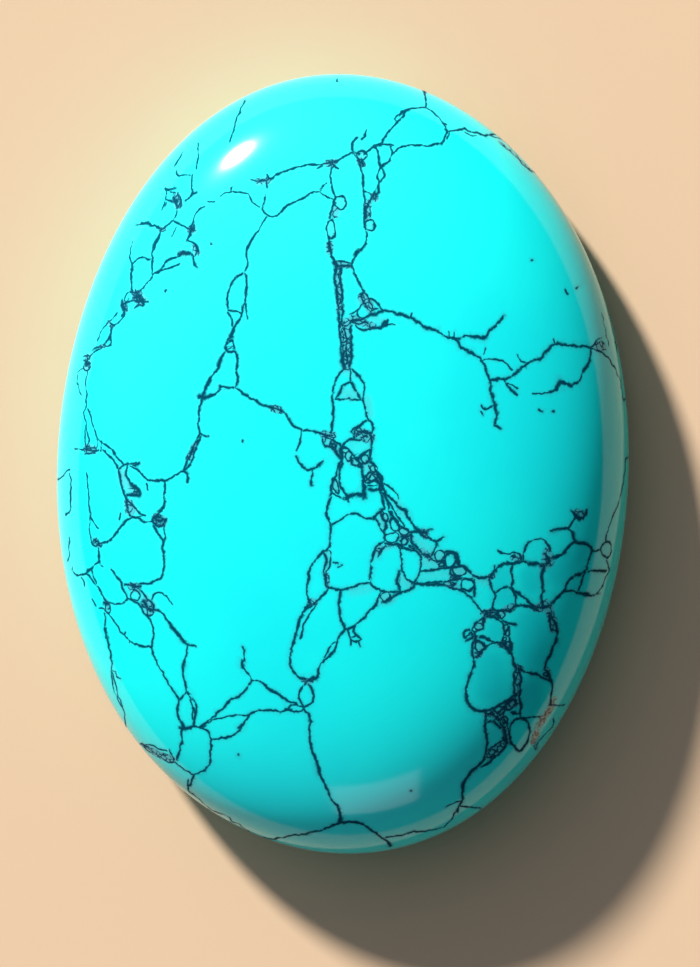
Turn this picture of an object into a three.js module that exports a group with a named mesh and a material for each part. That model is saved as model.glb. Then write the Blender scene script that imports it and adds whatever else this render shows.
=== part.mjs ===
// A polished oval turquoise cabochon: one natural stone, ground to a dome over a flat back.
// Millimetres, +Z up. +Y runs along the length and +X across the width.
// The origin is the middle of the flat back, so the stone rests on the plane z = 0.
import * as THREE from "three";

// Driving dimensions, in millimetres.
const LENGTH = 40;
const WIDTH = 29.3;
const HEIGHT = 8.8;
const GIRDLE_HEIGHT = 2.2; // where the outline is widest
const BACK_INSET = 1.7; // from the girdle in to the flat back, measured across the width

// Roundness of the two curved zones: 2 is an ellipse, and a higher number is fuller at the shoulder.
const DOME_FULLNESS = 2.5;
const EDGE_FULLNESS = 2.2;

// Grinding by hand left the dome fuller on one side, and the oval a little wavy.
const FULLNESS_SWING = 0.2;
const FULLEST_AT = THREE.MathUtils.degToRad(210);
const OUTLINE_WAVES = [
  { lobes: 3, height: 0.065, peak: THREE.MathUtils.degToRad(-34) },
  { lobes: 4, height: 0.117, peak: THREE.MathUtils.degToRad(30) },
];

// How finely the surface is divided.
const STEPS_AROUND = 96;
const STEPS_UP_DOME = 26;
const STEPS_UP_EDGE = 6;

const QUARTER_TURN = Math.PI / 2;
const DOME_HEIGHT = HEIGHT - GIRDLE_HEIGHT;
const MEAN_RADIUS = (LENGTH + WIDTH) / 4;
const BACK_SHARE = 1 - BACK_INSET / (WIDTH / 2);

// A unit profile, turned about the axis: the flat back, a quarter circle up to the girdle
// at height 0, and a quarter circle from the girdle to the crown.
function unitProfile() {
  const points = [new THREE.Vector2(0, -1)];
  for (let i = 0; i <= STEPS_UP_EDGE; i++) {
    const angle = QUARTER_TURN * (1 - i / STEPS_UP_EDGE);
    points.push(new THREE.Vector2(BACK_SHARE + (1 - BACK_SHARE) * Math.cos(angle), -Math.sin(angle)));
  }
  for (let i = 1; i <= STEPS_UP_DOME; i++) {
    const angle = (QUARTER_TURN * i) / STEPS_UP_DOME;
    const onAxis = i === STEPS_UP_DOME;
    points.push(new THREE.Vector2(onAxis ? 0 : Math.cos(angle), Math.sin(angle)));
  }
  return points;
}

// The outline's size in one direction, as a share of the plain oval's.
function outlineShare(direction) {
  let share = 1;
  for (const { lobes, height, peak } of OUTLINE_WAVES) {
    share += (height / MEAN_RADIUS) * Math.cos(lobes * (direction - peak));
  }
  return share;
}

// Below the girdle: the flat back keeps its place, and the edge curve becomes a superellipse.
function edgePoint(radius, drop) {
  const acrossEdge = (radius - BACK_SHARE) / (1 - BACK_SHARE);
  if (acrossEdge <= 0) return { share: radius, z: 0 };
  const share = BACK_SHARE + (1 - BACK_SHARE) * acrossEdge ** (2 / EDGE_FULLNESS);
  return { share, z: GIRDLE_HEIGHT * (1 - drop ** (2 / EDGE_FULLNESS)) };
}

// Above the girdle: a superellipse whose fullness changes a little with the direction.
function domePoint(radius, rise, direction) {
  const fullness = DOME_FULLNESS + FULLNESS_SWING * Math.cos(direction - FULLEST_AT);
  return {
    share: radius ** (2 / fullness),
    z: GIRDLE_HEIGHT + DOME_HEIGHT * rise ** (2 / fullness),
  };
}

function stoneGeometry() {
  const geometry = new THREE.LatheGeometry(unitProfile(), STEPS_AROUND);
  geometry.rotateX(QUARTER_TURN);
  const position = geometry.getAttribute("position");
  for (let i = 0; i < position.count; i++) {
    const radius = Math.hypot(position.getX(i), position.getY(i));
    const level = position.getZ(i);
    const direction = Math.atan2(position.getY(i), position.getX(i));
    const { share, z } = level < 0 ? edgePoint(radius, -level) : domePoint(radius, level, direction);
    const size = share * outlineShare(direction);
    position.setXYZ(i, size * (WIDTH / 2) * Math.cos(direction), size * (LENGTH / 2) * Math.sin(direction), z);
  }
  geometry.computeBoundingBox();
  const middle = geometry.boundingBox.getCenter(new THREE.Vector3());
  geometry.translate(-middle.x, -middle.y, 0);
  geometry.computeVertexNormals();
  return geometry;
}

const turquoise = new THREE.MeshStandardMaterial({ color: 0x0cc3c6, roughness: 0.15, metalness: 0 });

const stone = new THREE.Mesh(stoneGeometry(), turquoise);
stone.name = "turquoise_stone";

const cabochon = new THREE.Group();
cabochon.name = "turquoise_cabochon";
cabochon.add(stone);

export default cabochon;
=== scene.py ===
"""An oval turquoise cabochon with dark matrix veins, lying on its flat back on a pale floor."""
import math
import bpy
import numpy as np
from mathutils import Matrix


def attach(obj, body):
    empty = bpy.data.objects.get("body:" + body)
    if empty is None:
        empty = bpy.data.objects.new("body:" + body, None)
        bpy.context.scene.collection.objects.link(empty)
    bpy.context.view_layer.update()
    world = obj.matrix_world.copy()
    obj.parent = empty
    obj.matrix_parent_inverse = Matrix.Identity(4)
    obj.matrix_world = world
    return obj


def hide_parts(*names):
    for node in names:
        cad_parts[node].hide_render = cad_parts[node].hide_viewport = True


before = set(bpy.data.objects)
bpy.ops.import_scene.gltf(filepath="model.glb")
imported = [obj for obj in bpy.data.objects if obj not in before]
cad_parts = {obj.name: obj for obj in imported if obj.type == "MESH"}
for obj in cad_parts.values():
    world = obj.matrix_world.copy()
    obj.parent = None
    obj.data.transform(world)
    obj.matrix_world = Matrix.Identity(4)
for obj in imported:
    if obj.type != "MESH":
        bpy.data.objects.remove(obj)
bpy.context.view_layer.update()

# Turquoise stone: one piece of natural turquoise, sawn flat at the back, ground to an oval dome
# and polished. It is loose, with no setting, and rests on its back.
MM = 0.001
LENGTH = 40.0 * MM
WIDTH = 29.3 * MM
HEIGHT = 8.8 * MM
GIRDLE_HEIGHT = 2.2 * MM
BACK_INSET = 1.7 * MM
DOME_FULLNESS = 2.5
EDGE_FULLNESS = 2.2
FULLNESS_SWING = 0.2
FULLEST_AT = math.radians(210)
OUTLINE_WAVES = ((3, 0.065 * MM, math.radians(-34)), (4, 0.117 * MM, math.radians(30)))
OUTLINE_STEPS = 96
MEAN_RADIUS = (LENGTH + WIDTH) / 4
BACK_SHARE = 1 - BACK_INSET / (WIDTH / 2)


def outline_share(angle):
    """How far the outline stands from a true ellipse: one plus three-lobed and four-lobed ripples."""
    ripples = [h / MEAN_RADIUS * np.cos(lobes * (angle - peak)) for lobes, h, peak in OUTLINE_WAVES]
    return 1 + sum(ripples)


def dome_fullness(angle):
    """Power of the dome's superellipse, a little higher on the side where the dome is fullest."""
    return DOME_FULLNESS + FULLNESS_SWING * np.cos(angle - FULLEST_AT)


def dome_height(share, angle):
    """Height over the back: (share of the radius)^n + (share of the rise)^n = 1, on top of the girdle."""
    power = dome_fullness(angle)
    rise = np.clip(1 - np.clip(share, 0, 1) ** power, 0, 1) ** (1 / power)
    return GIRDLE_HEIGHT + (HEIGHT - GIRDLE_HEIGHT) * rise


def plan_point(share, angle):
    """Plan position of a share of the outline's radius in a direction of the unit circle."""
    reach = share * outline_share(angle)
    return reach * WIDTH / 2 * np.cos(angle), reach * LENGTH / 2 * np.sin(angle)


rim_x, rim_y = plan_point(1.0, np.linspace(0, 2 * np.pi, OUTLINE_STEPS + 1))
SHIFT_X = -(rim_x.max() + rim_x.min()) / 2
SHIFT_Y = -(rim_y.max() + rim_y.min()) / 2


def disc(count_x, count_y):
    """A square grid folded onto the unit disc: square rings become circles, and cells keep their area."""
    a, b = np.meshgrid(np.linspace(-1, 1, count_x), np.linspace(-1, 1, count_y), indexing="ij")
    wide = np.abs(a) > np.abs(b)
    radius = np.where(wide, a, b)
    safe = np.where(np.abs(radius) < 1e-12, 1.0, radius)
    angle = np.where(wide, np.pi / 4 * b / safe, np.pi / 2 - np.pi / 4 * a / safe)
    angle = np.where(radius < 0, angle + np.pi, angle)
    return np.abs(radius), angle


def grid_border(count_x, count_y, first):
    """Indices of a grid's border vertices in order round it, counterclockwise from its first corner."""
    index = first + np.arange(count_x * count_y).reshape(count_x, count_y)
    return np.concatenate([index[:-1, 0], index[-1, :-1], index[:0:-1, -1], index[0, :0:-1]])


def grid_faces(count_x, count_y, first, upward):
    """The grid's quads, wound to face up or down."""
    index = first + np.arange(count_x * count_y).reshape(count_x, count_y)
    corners = [index[:-1, :-1], index[1:, :-1], index[1:, 1:], index[:-1, 1:]]
    quads = np.stack(corners, -1).reshape(-1, 4)
    return quads if upward else quads[:, ::-1]


# Dome of the stone: the disc's radius runs along the profile's arc, so cells stay even down the steep side.
DOME_CELLS = (221, 289)
PROFILE_SAMPLES = 4001
profile_turn = np.linspace(np.pi / 2, 0, PROFILE_SAMPLES)
profile_share = np.cos(profile_turn) ** (2 / DOME_FULLNESS)
profile_rise = np.sin(profile_turn) ** (2 / DOME_FULLNESS) * (HEIGHT - GIRDLE_HEIGHT)
profile_steps = np.hypot(np.diff(profile_share) * MEAN_RADIUS, np.diff(profile_rise))
profile_arc = np.concatenate([[0], np.cumsum(profile_steps)])
radius, angle = disc(*DOME_CELLS)
share = np.interp(radius * profile_arc[-1], profile_arc, profile_share)
dome_x, dome_y = plan_point(share, angle)
dome = np.stack([dome_x, dome_y, dome_height(share, angle)], -1).reshape(-1, 3)
border = grid_border(*DOME_CELLS, 0)

# Lower edge of the stone: the rim rounds under to the flat back in rings that share the dome's border.
EDGE_RINGS = 9


def edge_profile(turn):
    """Share of the radius and height at a turn round the lower edge: a superellipse from girdle to back."""
    share = BACK_SHARE + (1 - BACK_SHARE) * np.clip(np.cos(turn), 0, 1) ** (2 / EDGE_FULLNESS)
    return share, GIRDLE_HEIGHT * (1 - np.sin(turn) ** (2 / EDGE_FULLNESS))


border_angle = angle.reshape(-1)[border][None, :]
edge_share, edge_height = edge_profile(np.linspace(0, np.pi / 2, EDGE_RINGS + 1)[1:, None])
edge_x, edge_y = plan_point(edge_share, border_angle)
edge = np.stack([edge_x, edge_y, edge_height + 0 * border_angle], -1).reshape(-1, 3)
edge_index = len(dome) + np.arange(len(edge)).reshape(EDGE_RINGS, -1)
edge_index = np.concatenate([border[None, :], edge_index])
edge_next = np.roll(edge_index, -1, 1)
edge_corners = [edge_index[:-1], edge_index[1:], edge_next[1:], edge_next[:-1]]
edge_faces = np.stack(edge_corners, -1).reshape(-1, 4)

# Back of the stone: a disc of half as many cells, stitched to the last ring by three triangles a step.
BACK_CELLS = (111, 145)
BACK_GRID_SHARE = 0.985
back_radius, back_angle = disc(*BACK_CELLS)
back_x, back_y = plan_point(back_radius * BACK_SHARE * BACK_GRID_SHARE, back_angle)
back = np.stack([back_x, back_y, 0 * back_x], -1).reshape(-1, 3)
back_first = len(dome) + len(edge)
inner = grid_border(*BACK_CELLS, back_first)
inner_next = np.roll(inner, -1)
outer = edge_index[-1]
outer_mid = outer[1::2]
outer_next = np.roll(outer[0::2], -1)
stitches = np.concatenate([
    np.stack([outer[0::2], inner, outer_mid], -1),
    np.stack([outer_mid, inner, inner_next], -1),
    np.stack([outer_mid, inner_next, outer_next], -1),
])
points = np.concatenate([dome, edge, back]) + np.array([SHIFT_X, SHIFT_Y, 0.0])
faces = [
    *grid_faces(*DOME_CELLS, 0, True).tolist(),
    *edge_faces.tolist(),
    *stitches.tolist(),
    *grid_faces(*BACK_CELLS, back_first, False).tolist(),
]
stone_mesh = bpy.data.meshes.new("turquoise_stone_skin")
stone_mesh.from_pydata(points.tolist(), [], faces)
stone_mesh.polygons.foreach_set("use_smooth", np.ones(len(faces), bool))
stone = bpy.data.objects.new("turquoise_stone_skin", stone_mesh)
bpy.context.scene.collection.objects.link(stone)

# Line of sight: the marks below are given in the photograph's pixels, so each is carried along the line
# of sight onto the dome. The camera at the end of the file stands at the same place.
PHOTO_WIDTH = 700
PHOTO_HEIGHT = 967
VIEW_DISTANCE = 250.0 * MM
VIEW_TILT_X = math.radians(3.5)
VIEW_TILT_Y = math.radians(5.3)
VIEW_ROLL = math.radians(0.8)
AIM_RIGHT = 0.37 * MM
AIM_UP = -0.92 * MM
PIXELS_PER_MM = 19.57
FOCAL_PIXELS = PIXELS_PER_MM / MM * VIEW_DISTANCE
HALVINGS = 40
back_off = np.array([math.tan(VIEW_TILT_X), math.tan(VIEW_TILT_Y), 1.0])
back_off /= np.linalg.norm(back_off)
rolled_up = np.array([-math.sin(VIEW_ROLL), math.cos(VIEW_ROLL), 0.0])
view_right = np.cross(rolled_up, back_off)
view_right /= np.linalg.norm(view_right)
view_up = np.cross(back_off, view_right)
aim = np.array([0, 0, GIRDLE_HEIGHT]) + AIM_RIGHT * view_right + AIM_UP * view_up
eye = aim + VIEW_DISTANCE * back_off


def share_and_angle(x, y):
    """The inverse of plan_point: share of the radius and direction of a plan position on the stone."""
    across = (x - SHIFT_X) / (WIDTH / 2)
    along = (y - SHIFT_Y) / (LENGTH / 2)
    direction = np.arctan2(along, across)
    return np.hypot(across, along) / outline_share(direction), direction


def on_dome(pixels):
    """Where the sight lines of pixels meet the dome, found by halving the range of heights."""
    pixels = np.asarray(pixels, float)
    right = (pixels[:, 0] + 0.5 - PHOTO_WIDTH / 2) / FOCAL_PIXELS
    up = (PHOTO_HEIGHT / 2 - pixels[:, 1] - 0.5) / FOCAL_PIXELS
    sight = right[:, None] * view_right + up[:, None] * view_up - back_off
    low = np.full(len(pixels), GIRDLE_HEIGHT)
    high = np.full(len(pixels), HEIGHT)
    for _ in range(HALVINGS):
        middle = (low + high) / 2
        spot = eye + sight * ((middle - eye[2]) / sight[:, 2])[:, None]
        inside = dome_height(*share_and_angle(spot[:, 0], spot[:, 1])) > middle
        low = np.where(inside, middle, low)
        high = np.where(inside, high, middle)
    return eye + sight * ((low - eye[2]) / sight[:, 2])[:, None]


def to_pixels(places):
    """Pixels where places in space appear: sideways and upward offsets over depth, times focal length."""
    offset = places - eye
    depth = -(offset @ back_off)
    across = PHOTO_WIDTH / 2 - 0.5 + FOCAL_PIXELS * (offset @ view_right) / depth
    down = PHOTO_HEIGHT / 2 - 0.5 - FOCAL_PIXELS * (offset @ view_up) / depth
    return np.stack([across, down], -1)


# Matrix veins: dark seams of the host rock, seen as lines on the polished face. Each bundle has a width
# in millimetres and strokes in photo pixels.
VEINS = {
    "spine_bold": (0.175, [
        [(335,267),(334,278),(335,287),(337,298),(338,310),(339,320),(339,331),(340,341),(341,351),
         (341,361),(345,367)],
        [(340,268),(340,280),(341,292),(342,304),(342,315),(341,322)],
        [(350,321),(350,331),(351,341),(351,351),(351,360),(349,366)], [(335,266),(341,265),(350,265)],
        [(382,311),(374,313),(368,315),(365,317),(362,319),(356,319),(350,322)],
        [(329,239),(328,247),(330,252),(331,256),(334,261),(338,265)],
        [(361,249),(357,253),(353,258),(351,264)],
    ]),
    "spine_main": (0.145, [
        [(367,233),(366,239),(364,245),(361,249)],
        [(351,264),(353,270),(356,276),(359,284),(362,288),(365,293),(368,297),(373,299),(376,301),
         (379,306),(382,310)],
        [(350,320),(355,323),(360,323),(365,322),(368,324)],
        [(355,325),(358,328),(363,330),(370,329),(375,327),(380,327),(382,324),(385,320),(388,322),
         (387,326),(383,326)],
    ]),
    "spine_fine": (0.105, [
        [(345,325),(344,333),(347,340),(345,348),(347,356),(346,364)], [(339,322),(345,326),(350,322)],
        [(340,342),(347,340),(351,344)], [(337,260),(346,262),(351,263)],
        [(361,293),(363,302),(361,306),(358,309),(353,312),(350,314)],
        [(368,298),(368,306),(371,309),(377,308)], [(363,302),(368,306)], [(358,309),(356,314),(361,318)],
        [(388,324),(393,322),(395,324)],
    ]),
    "branch_bold": (0.175, [
        [(382,310),(388,311),(396,312),(402,314),(406,316),(410,317),(415,320),(420,322),(423,326),
         (429,328),(436,329),(440,332),(444,336),(449,337),(454,338),(457,341),(459,344),(463,348),
         (468,352),(472,354),(478,356),(481,359),(484,363),(485,367),(487,374),(489,380)],
        [(489,380),(495,379),(499,378),(503,379),(509,377),(514,375),(516,372),(519,369),(525,366),
         (528,362),(535,359),(539,360),(542,357),(543,353),(547,349),(551,345),(555,343),(561,345),
         (569,345),(577,345),(583,346),(589,347)],
        [(590,348),(590,354),(590,360),(587,365),(584,368),(582,373),(580,378),(577,382),(571,385),
         (565,383),(560,380),(558,384),(555,389),(549,392)],
    ]),
    "branch_heavy": (0.2, [
        [(489,380),(490,388),(492,396),(494,404),(496,411),(497,416),(495,421)], [(448,336),(454,338)],
        [(519,369),(525,366)], [(571,385),(565,383),(560,381)],
    ]),
    "branch_main": (0.15, [
        [(495,421),(495,424),(497,426),(500,428)],
        [(454,338),(458,338),(461,337),(464,334),(467,334),(471,336),(477,336),(481,338),(485,338),
         (487,334),(490,329),(494,326),(498,323),(501,319),(503,316)],
        [(504,380),(507,385),(511,390),(516,394)],
    ]),
    "branch_fine": (0.105, [
        [(410,317),(411,313)], [(449,336),(448,331)], [(453,337),(454,331)],
        [(482,360),(487,358),(495,359),(503,361),(508,365),(512,370)],
        [(589,347),(593,345),(596,340),(599,338)], [(517,354),(518,359),(523,362),(528,363)],
        [(553,339),(554,343)], [(507,383),(512,386),(517,388)],
        [(590,348),(597,350),(603,353),(607,357),(611,362),(615,370),(619,378),(622,390),(623,400)],
        [(549,392),(541,393),(532,393)], [(481,405),(483,410),(488,408),(492,405)], [(480,411),(483,415)],
    ]),
    "branch_hair": (0.08, [
        [(485,348),(483,354)], [(601,312),(605,328),(608,345)], [(606,306),(612,330),(617,352)],
    ]),
    "crown": (0.145, [
        [(345,368),(340,372),(336,377),(334,382),(332,388),(332,393),(332,398),(333,406),(333,411),
         (332,418),(331,426),(330,434)],
        [(352,369),(357,374),(361,378),(364,384),(364,390),(363,396),(362,400),(365,408),(366,416),
         (368,420),(372,424),(374,430),(371,433)],
        [(350,381),(345,383),(342,385),(340,390),(338,395),(336,398)],
        [(335,399),(341,399),(350,399),(359,400),(362,400)], [(351,382),(354,388),(357,394),(360,399)],
        [(366,420),(362,420),(361,426),(357,427),(353,428),(351,431)], [(351,431),(354,435),(353,439)],
    ]),
    "ridge_heavy": (0.19, [
        [(324,434),(328,435),(332,435)], [(357,431),(363,432),(370,432)], [(361,437),(366,436)],
        [(405,510),(407,514)], [(422,532),(426,534),(424,530)], [(401,536),(406,537),(409,534)],
        [(424,553),(430,557)], [(467,569),(471,573)], [(412,582),(416,583)], [(380,590),(383,591)],
    ]),
    "ridge_bold": (0.186, [
        [(370,432),(371,440),(370,450),(369,457),(371,462),(374,466),(377,471),(380,478),(381,483)],
        [(361,467),(362,473),(363,480),(363,487),(364,493),(364,497)], [(331,492),(330,496)],
        [(344,497),(350,495),(356,494),(364,494)],
        [(381,486),(384,491),(386,497),(387,503),(388,509),(391,515)],
        [(401,508),(406,510),(407,515),(410,521),(413,526),(417,530),(421,532)],
        [(386,520),(386,526),(385,531),(384,537),(384,541)],
        [(398,525),(402,527),(406,530),(410,531),(417,531)],
        [(410,534),(411,541),(414,545),(418,548),(422,552),(426,556),(430,558)],
        [(458,565),(464,566),(468,569),(471,573),(476,576),(482,577),(489,577)],
        [(413,582),(420,584),(428,584),(436,584),(443,584),(448,587),(454,589),(460,590)],
        [(384,543),(391,544),(398,544),(400,549)], [(443,561),(443,567)],
    ]),
    "ridge_main": (0.158, [
        [(320,433),(325,435),(331,439),(336,443),(341,446),(345,447),(349,449),(351,453),(354,457),
         (357,459),(359,457),(362,453),(366,451),(369,449)],
        [(325,446),(330,446),(333,449),(336,452),(339,455),(341,459),(342,462)],
        [(341,446),(346,442),(349,439),(355,439),(362,439)], [(341,447),(338,450),(342,454),(342,458)],
        [(357,459),(360,463),(361,467)], [(351,460),(351,464),(355,466),(361,467)],
        [(342,462),(340,467),(339,474),(339,480),(340,486),(343,490),(346,496),(350,495)],
        [(341,461),(338,465),(337,471),(335,476),(332,481),(330,487),(330,492),(333,493),(338,495),
         (343,498),(347,498)],
        [(331,497),(328,502),(326,508),(326,514),(327,519),(331,524),(330,530),(330,538),(329,546),
         (327,549)],
        [(368,482),(373,481),(379,482),(378,489),(373,490),(369,489)],
        [(378,489),(381,494),(382,500),(384,507)],
        [(380,492),(386,494),(392,498),(396,502),(398,507),(401,508)],
        [(373,518),(377,513),(381,509),(384,508)], [(375,518),(378,523),(381,528),(384,533)],
        [(380,512),(381,517),(384,521),(386,525)], [(388,510),(391,515),(396,520),(398,525)],
        [(417,531),(421,534),(427,537),(433,540),(436,541),(436,547),(433,552),(430,556)],
        [(436,541),(440,539),(443,536)], [(430,558),(436,560),(443,561)],
        [(444,552),(448,550),(453,551),(457,554),(458,560),(459,565)], [(398,544),(404,547),(410,549)],
        [(421,558),(421,565),(420,571),(417,577),(414,581)],
        [(421,571),(427,570),(435,569),(442,568),(451,567)], [(451,567),(450,574),(456,577),(462,576)],
        [(442,582),(448,580),(456,579),(460,577),(466,578),(473,578)], [(474,580),(474,588),(474,596)],
        [(456,583),(452,586),(450,589)],
        [(460,590),(465,593),(470,597),(474,601),(478,607),(481,610),(484,613)],
        [(384,541),(378,544),(374,549),(372,556),(371,563),(370,569),(369,576),(370,582)],
        [(385,545),(381,550),(378,556)],
        [(400,549),(401,556),(401,563),(401,570),(405,576),(409,581),(413,582)],
        [(402,548),(408,550),(414,549),(419,552),(421,557)],
        [(370,583),(375,587),(380,590),(386,591),(392,592),(400,591),(406,590),(411,588),(414,584)],
        [(370,582),(364,582),(358,584),(350,587),(342,589),(334,589),(328,587)],
        [(399,570),(397,577),(395,582),(398,586),(399,590)],
        [(381,591),(378,596),(376,602),(373,607),(368,612),(364,618),(359,621),(354,625),(349,628),
         (344,628)],
        [(381,601),(387,601),(392,597),(397,593),(402,591)],
    ]),
    "ridge_fine": (0.115, [
        [(322,438),(322,442),(325,446)], [(350,367),(350,374),(350,381)],
        [(331,524),(335,522),(340,520),(346,516),(351,513),(356,513),(361,516),(366,518),(373,518)],
        [(383,483),(388,486),(393,490),(397,494),(398,498)], [(427,531),(429,528),(432,529)],
        [(347,498),(348,502)], [(369,461),(375,466),(374,471),(381,474),(382,479)],
        [(368,465),(370,473),(375,477),(377,481)], [(372,473),(367,478),(365,483)],
        [(389,502),(392,507),(396,514),(401,521),(404,527)], [(326,437),(324,442)], [(331,440),(329,446)],
        [(336,444),(334,450)], [(425,582),(435,581),(442,581)],
    ]),
    "cluster_heavy": (0.2, [
        [(544,553),(549,558),(546,564)], [(574,513),(577,517),(582,518)], [(534,607),(541,607),(548,606)],
        [(551,613),(553,619),(556,626)], [(483,617),(483,622)], [(505,610),(509,611)],
        [(477,656),(481,652)], [(503,737),(507,742)], [(491,712),(497,717)], [(511,712),(518,713)],
    ]),
    "cluster_bold": (0.18, [
        [(489,577),(490,574),(493,571),(496,568),(500,565),(503,563),(509,562),(512,564),(517,562),
         (521,560),(525,561),(528,564),(533,563),(538,563),(541,565)],
        [(551,530),(555,528),(560,529),(565,528),(568,528)], [(568,528),(570,524),(573,520),(575,517)],
        [(571,511),(574,515),(578,519),(582,518),(585,513),(586,510)],
        [(568,529),(571,532),(573,537),(575,541)],
        [(575,541),(570,543),(567,548),(563,553),(558,556),(553,557)],
        [(575,542),(581,543),(587,543),(590,546),(591,550),(590,556),(588,562),(587,567),(584,571),
         (580,574),(574,576),(569,579),(566,584),(564,589),(560,594),(555,599),(550,604)],
        [(515,605),(522,605),(528,606),(533,608)],
        [(553,619),(556,626),(557,632),(556,639),(552,648),(549,656),(546,663),(544,669)],
        [(472,629),(475,634),(475,640),(472,644),(471,650),(472,656),(474,660),(473,667),(471,673),
         (468,680),(466,685),(465,691),(466,697),(468,704),(471,708),(477,710),(484,711),(491,709),
         (497,706),(503,702),(508,699),(513,695)],
        [(477,656),(481,651),(485,646),(490,643),(496,642),(501,643),(505,646),(509,650),(512,656),
         (514,662),(516,667)],
        [(516,667),(514,675),(514,685),(515,694)],
        [(518,668),(520,675),(520,685),(519,695),(520,708),(520,716)],
        [(518,668),(524,671),(530,674),(537,674),(543,677),(548,679),(551,682)],
        [(485,711),(487,717),(484,723),(485,729),(487,736),(486,744),(486,751),(484,757),(480,764),
         (475,767),(470,771),(466,778),(462,784),(462,790)],
        [(520,717),(527,718),(533,717),(539,716)], [(503,728),(506,736),(506,744)],
    ]),
    "cluster_main": (0.164, [
        [(523,560),(523,553),(525,547),(528,542)], [(545,541),(548,545),(550,550)],
        [(544,566),(542,574),(541,582),(542,590),(541,598),(542,605)],
        [(489,578),(491,585),(493,590),(495,594),(493,601),(492,609)],
        [(495,593),(499,589),(503,587),(508,586),(511,588),(514,592),(517,596),(515,601),(515,605)],
        [(512,565),(510,570),(512,575),(511,582),(512,588)],
        [(512,588),(517,593),(523,597),(529,602),(533,606)], [(585,572),(582,578),(580,583),(578,590)],
        [(562,591),(568,590),(575,591),(582,593),(587,594),(592,596),(596,593)],
        [(586,571),(592,570),(600,570),(606,570)],
        [(484,613),(490,610),(497,610),(504,610),(508,611),(512,607),(515,605)],
        [(484,613),(483,618),(483,628),(479,631),(474,631)], [(483,617),(478,620),(474,624),(472,629)],
        [(463,634),(464,630),(469,629),(472,632),(472,637),(467,640),(464,640),(463,634)],
        [(474,640),(479,640),(483,642),(485,646)], [(497,611),(500,618),(504,622),(510,624),(516,624)],
        [(485,616),(490,616),(496,617),(500,620),(503,624),(503,630),(503,637),(501,642)],
        [(498,642),(490,640),(484,637),(479,636)], [(508,626),(509,632),(509,638),(511,644),(511,650)],
        [(549,612),(549,618),(550,625),(551,630)], [(544,669),(548,673),(551,680)],
        [(551,682),(552,690),(551,697),(550,704)], [(515,695),(511,700),(505,706),(498,712)],
        [(484,712),(490,713),(496,716),(500,722),(505,728)], [(503,712),(503,718),(507,724)],
        [(515,718),(521,717),(528,722),(530,731),(527,741),(522,748),(519,751),(515,747),(510,742),
         (508,735),(508,728),(511,723),(515,718)],
        [(487,722),(493,720),(500,727)], [(503,740),(497,743),(492,747),(488,750)],
        [(506,745),(500,751),(495,757),(489,762),(482,766)], [(462,790),(462,797),(460,804),(456,810)],
    ]),
    "cluster_fine": (0.11, [
        [(498,550),(501,551),(505,554),(510,554),(514,552),(518,553),(521,556),(521,560)],
        [(498,551),(500,553),(504,553)], [(528,542),(533,539),(538,538),(542,538),(545,541)],
        [(494,569),(494,565)],
        [(600,548),(603,542),(608,540),(611,545),(611,553),(607,559),(603,556),(600,550)],
        [(605,540),(606,533),(609,525),(611,519),(614,512),(617,505),(620,495),(622,486),(624,472),
         (625,458)],
        [(606,560),(608,566),(609,571),(604,580),(600,588),(596,594)], [(591,551),(595,551),(600,549)],
        [(553,704),(558,705),(565,704)], [(446,806),(454,802),(461,800)],
        [(460,806),(466,806),(474,807),(481,808)], [(456,810),(452,819),(444,826),(436,829)],
        [(553,718),(554,724),(548,730),(542,736),(537,744),(535,748)],
    ]),
    "below_main": (0.156, [
        [(340,589),(339,598),(339,609),(338,614),(341,620),(343,624),(344,628)],
        [(327,549),(322,551),(317,556),(313,562),(310,568),(308,578),(307,586),(306,592),(308,598),
         (311,603)],
        [(323,552),(326,557),(326,562),(323,567),(323,573),(325,579),(324,584),(328,587)],
        [(328,588),(324,592),(320,597),(315,602),(310,606),(304,609),(300,615),(298,621),(297,629),
         (294,638),(292,648),(289,658),(289,666),(293,671),(299,677),(306,679)],
        [(344,628),(343,631),(339,636),(336,641),(334,649),(329,655),(325,660),(321,663),(318,668),
         (318,673),(315,678),(308,679)],
        [(296,456),(299,461),(302,467),(306,469),(311,470),(316,467),(320,463),(323,460)],
        [(312,470),(312,477),(311,484)], [(300,677),(304,679),(307,681),(311,680),(315,677)],
    ]),
    "below_fine": (0.105, [
        [(328,549),(332,552),(330,558),(328,566),(325,573)],
        [(315,605),(310,611),(307,617),(304,623),(302,629),(300,638)],
        [(354,626),(354,632),(356,635),(361,639)], [(347,629),(349,635),(351,639),(350,644)],
        [(351,639),(354,642),(358,641),(361,639)], [(351,637),(356,635)], [(358,641),(360,646)],
        [(336,641),(329,645),(327,651),(324,657)], [(333,562),(342,564),(337,567)],
        [(301,431),(300,438),(298,444),(296,450)],
    ]),
    "top_arch": (0.145, [
        [(256,183),(260,180),(265,180),(271,178),(275,174),(280,172),(286,171),(292,168),(298,166),
         (304,165),(310,163),(316,164),(322,164),(328,163),(331,161),(336,161),(340,158),(344,155),
         (350,153),(354,153)],
        [(364,154),(368,151),(371,148),(373,146)],
        [(358,160),(360,165),(362,173),(363,181),(363,191),(364,199),(364,205)],
        [(380,166),(377,171),(377,177),(379,180)], [(380,166),(383,170),(384,176),(380,181)],
        [(379,181),(378,187),(377,193),(374,198),(371,195),(374,192)], [(371,196),(368,203),(367,207)],
        [(332,208),(330,213),(330,218)], [(365,205),(364,212),(364,219),(365,226),(367,233)],
        [(354,153),(357,157),(360,162)],
    ]),
    "top_loops": (0.125, [
        [(268,180),(267,174)], [(266,180),(267,188)], [(317,168),(322,165)],
        [(331,161),(334,166),(338,168)],
        [(265,195),(264,203),(261,207),(263,212),(269,215),(275,216),(280,214),(281,210),(285,206),
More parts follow.
